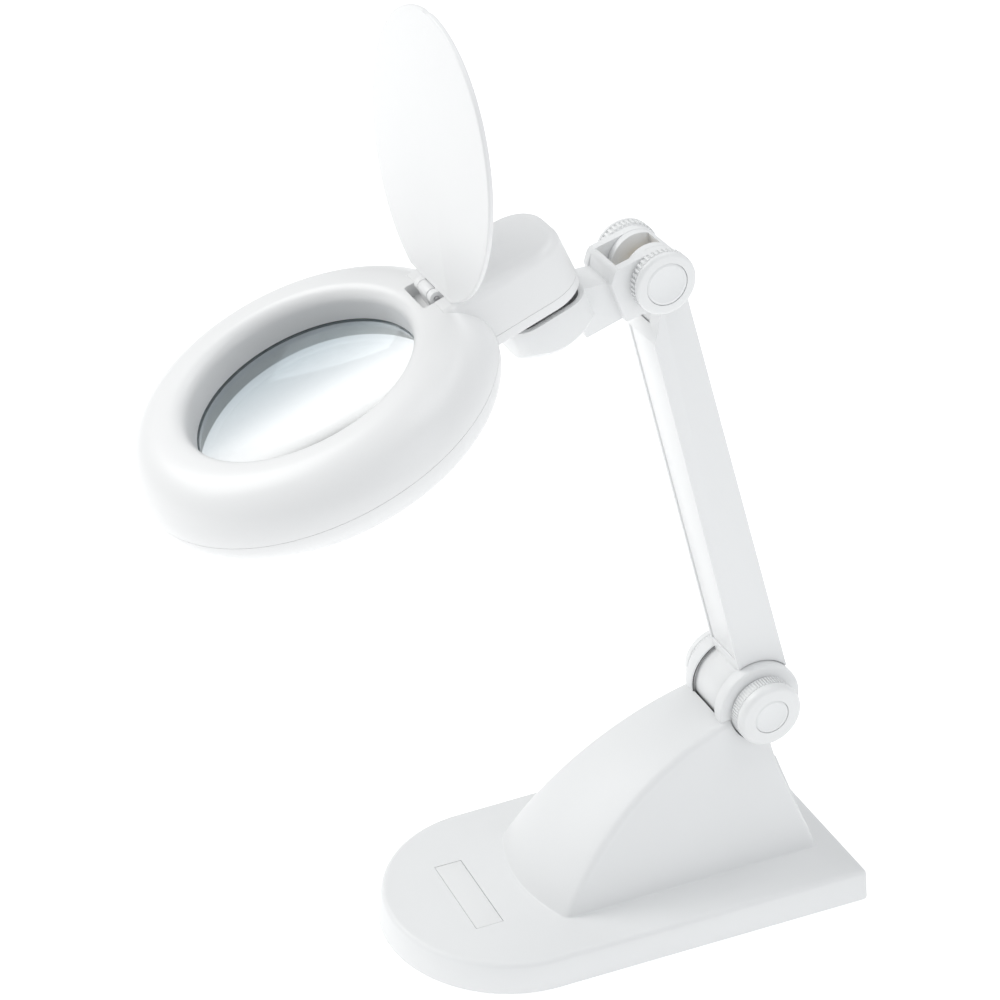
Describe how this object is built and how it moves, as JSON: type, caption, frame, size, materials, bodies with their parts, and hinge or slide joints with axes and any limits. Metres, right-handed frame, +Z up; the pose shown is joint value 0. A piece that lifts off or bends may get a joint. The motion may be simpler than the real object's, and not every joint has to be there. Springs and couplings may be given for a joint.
{
  "type": "magnifying lamp",
  "caption": "Desk magnifying lamp: weighted base with domed pedestal, tilting arm and swivelling ring light head around a lens, with a hinged dust lid.",
  "frame": {"origin": "centre of the bounding box in X and Y, resting face of the feet on Z = 0", "axes": "+Z up, -Y front (the side the head reaches over), +X the user's right of the lamp seen from the front"},
  "size_m": [0.16, 0.3242, 0.4521],
  "materials": {
    "white_shell": "satin moulded, fine texture",
    "white_head": "satin moulded",
    "white_lid": "satin moulded",
    "white_strip": "satin moulded",
    "knob_white": "satin moulded, ribbed grip",
    "cap_white": "gloss",
    "plate_plastic": "satin",
    "grey_plastic": "matt moulded",
    "black_plastic": "matt moulded",
    "rocker_plastic": "gloss",
    "ballast_iron": "rough cast, painted grey",
    "foot_rubber": "matt",
    "screw_steel": "zinc plated",
    "axle_steel": "turned bright",
    "bush_brass": "turned",
    "friction_fibre": "matt fibre",
    "wire_sleeve": "matt sleeve",
    "lens_glass": "polished, faint green edge",
    "diffuser": "frosted, translucent",
    "board_white": "solder mask",
    "board_green": "solder mask",
    "led_yellow": "phosphor window"
  },
  "bodies": {
    "base": {"base_shell": "white_shell", "base_bottom_plate": "grey_plastic", "ballast_weight": "ballast_iron", "base_feet": "foot_rubber", "base_screws": "screw_steel", "name_plate": "plate_plastic", "pedestal_rear_cover": "white_shell", "rear_cover_screws": "screw_steel", "dc_inlet": "black_plastic", "switch_housing": "black_plastic", "lower_axle": "axle_steel"},
    "rocker": {"switch_rocker": "rocker_plastic"},
    "lower_knob_r": {"lower_knob_right": "knob_white", "lower_knob_right_cap": "cap_white", "lower_knob_right_insert": "bush_brass"},
    "lower_knob_l": {"lower_knob_left": "knob_white", "lower_knob_left_cap": "cap_white", "lower_knob_left_insert": "bush_brass"},
    "arm": {"arm_channel": "white_shell", "arm_front_strip": "white_strip", "lower_bushes": "bush_brass", "lower_friction_washers": "friction_fibre", "tongue_spacer": "bush_brass", "upper_friction_washers": "friction_fibre", "arm_lead": "wire_sleeve"},
    "neck": {"neck_bracket": "white_shell", "upper_axle": "axle_steel", "swivel_spindle": "axle_steel", "swivel_washer": "friction_fibre", "swivel_nut": "axle_steel"},
    "upper_knob_r": {"upper_knob_right": "knob_white", "upper_knob_right_cap": "cap_white", "upper_knob_right_insert": "bush_brass"},
    "upper_knob_l": {"upper_knob_left": "knob_white", "upper_knob_left_cap": "cap_white", "upper_knob_left_insert": "bush_brass"},
    "head": {"head_top_shell": "white_head", "head_bottom_shell": "white_head", "lens": "lens_glass", "lens_retaining_ring": "white_head", "diffuser_ring": "diffuser", "led_board": "board_white", "leds": "led_yellow", "driver_board": "board_green", "head_screws": "screw_steel", "hinge_block": "white_head", "hinge_pin": "axle_steel"},
    "lid": {"lid": "white_lid"}
  },
  "joints": [
    {"name": "arm_tilt", "type": "hinge", "parent": "base", "child": "arm", "pos_m": [0, 0.1232, 0.0952], "axis": [1, 0, 0], "range_deg": [-35, 60]},
    {"name": "neck_tilt", "type": "hinge", "parent": "arm", "child": "neck", "pos_m": [0, 0.06358, 0.32623], "axis": [1, 0, 0], "range_deg": [-75, 7]},
    {"name": "head_swivel", "type": "hinge", "parent": "neck", "child": "head", "pos_m": [0, 0.01089, 0.32252], "axis": [0, -0.3856, 0.9227], "range_deg": [-90, 90]},
    {"name": "lid_hinge", "type": "hinge", "parent": "head", "child": "lid", "pos_m": [0, -0.03562, 0.33397], "axis": [1, 0, 0], "range_deg": [0, 112.3]},
    {"name": "lower_knob_r_spin", "type": "hinge", "parent": "base", "child": "lower_knob_r", "pos_m": [0.023, 0.1232, 0.0952], "axis": [1, 0, 0], "continuous": true},
    {"name": "lower_knob_l_spin", "type": "hinge", "parent": "base", "child": "lower_knob_l", "pos_m": [-0.023, 0.1232, 0.0952], "axis": [1, 0, 0], "continuous": true},
    {"name": "upper_knob_r_spin", "type": "hinge", "parent": "neck", "child": "upper_knob_r", "pos_m": [0.017, 0.06358, 0.32623], "axis": [1, 0, 0], "continuous": true},
    {"name": "upper_knob_l_spin", "type": "hinge", "parent": "neck", "child": "upper_knob_l", "pos_m": [-0.017, 0.06358, 0.32623], "axis": [1, 0, 0], "continuous": true},
    {"name": "switch_tilt", "type": "hinge", "parent": "base", "child": "rocker", "pos_m": [0, 0.13392, 0.05627], "axis": [1, 0, 0], "range_deg": [0, 10]}
  ]
}
